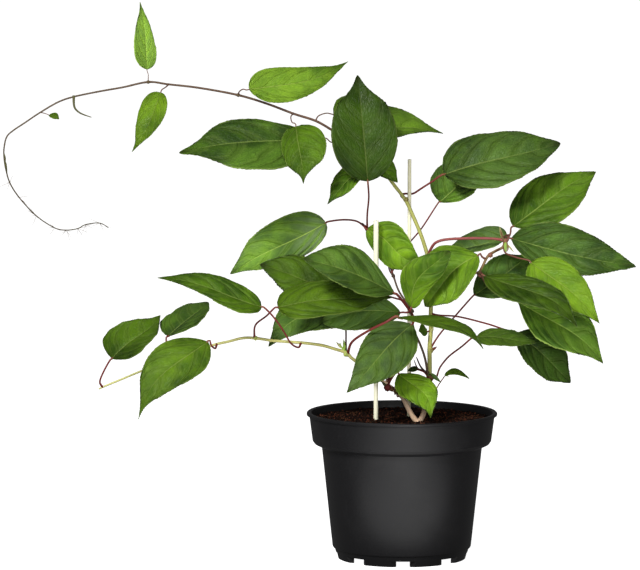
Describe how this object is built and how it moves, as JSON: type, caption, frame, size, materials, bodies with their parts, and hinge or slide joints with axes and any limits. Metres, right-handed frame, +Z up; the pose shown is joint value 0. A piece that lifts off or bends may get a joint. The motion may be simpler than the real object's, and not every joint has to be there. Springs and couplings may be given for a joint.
{
  "type": "potted kiwi vine",
  "caption": "Young kiwi vine in a black nursery pot with support sticks: tapered notched pot, lumpy soil, branching stems, a long curling runner and oval toothed leaves.",
  "frame": {"origin": "centre of the pot's underside, on the surface it stands on", "axes": "+Z up, +X to the right as seen from the front, where the viewer stands at -Y; the runner reaches to -X"},
  "size_m": [0.5007, 0.1717, 0.4462],
  "materials": {
    "pot_plastic": "satin",
    "peat": "matt",
    "stick_wood": "satin",
    "bark": "matt",
    "cane": "satin",
    "red_stem": "satin",
    "leaf": "satin",
    "leaf_bright": "satin"
  },
  "bodies": {
    "root": {"pot": "pot_plastic", "soil": "peat", "stick_front": "stick_wood", "stick_rear": "stick_wood", "woody_base": "bark", "runner": "bark", "main_cane": "cane", "left_shoot": "cane", "middle_shoot": "red_stem", "right_shoot": "red_stem", "base_bright": "leaf_bright", "base_dark": "leaf", "base_small": "leaf", "cane_leaflet": "leaf", "centre_front": "leaf_bright", "centre_right": "leaf_bright", "crown_back": "leaf", "crown_front": "leaf", "crown_hanging": "leaf", "crown_long": "leaf", "crown_under_left": "leaf", "crown_under_right": "leaf", "front_large": "leaf", "front_narrow": "leaf", "left_dark": "leaf", "left_front": "leaf", "left_low": "leaf", "low_bright": "leaf_bright", "low_dark_left": "leaf", "low_dark_right": "leaf", "middle_bright": "leaf_bright", "middle_far_left": "leaf", "middle_serrate": "leaf", "middle_veined": "leaf", "right_back": "leaf", "right_bright": "leaf_bright", "right_dark": "leaf", "right_long": "leaf", "right_low": "leaf", "right_lowest": "leaf", "right_outer": "leaf", "right_small": "leaf", "right_top": "leaf", "right_top_back": "leaf", "right_upper": "leaf", "runner_bright": "leaf_bright", "runner_hanging": "leaf_bright", "runner_small": "leaf_bright", "runner_upright": "leaf_bright", "upper_narrow": "leaf"}
  },
  "joints": []
}
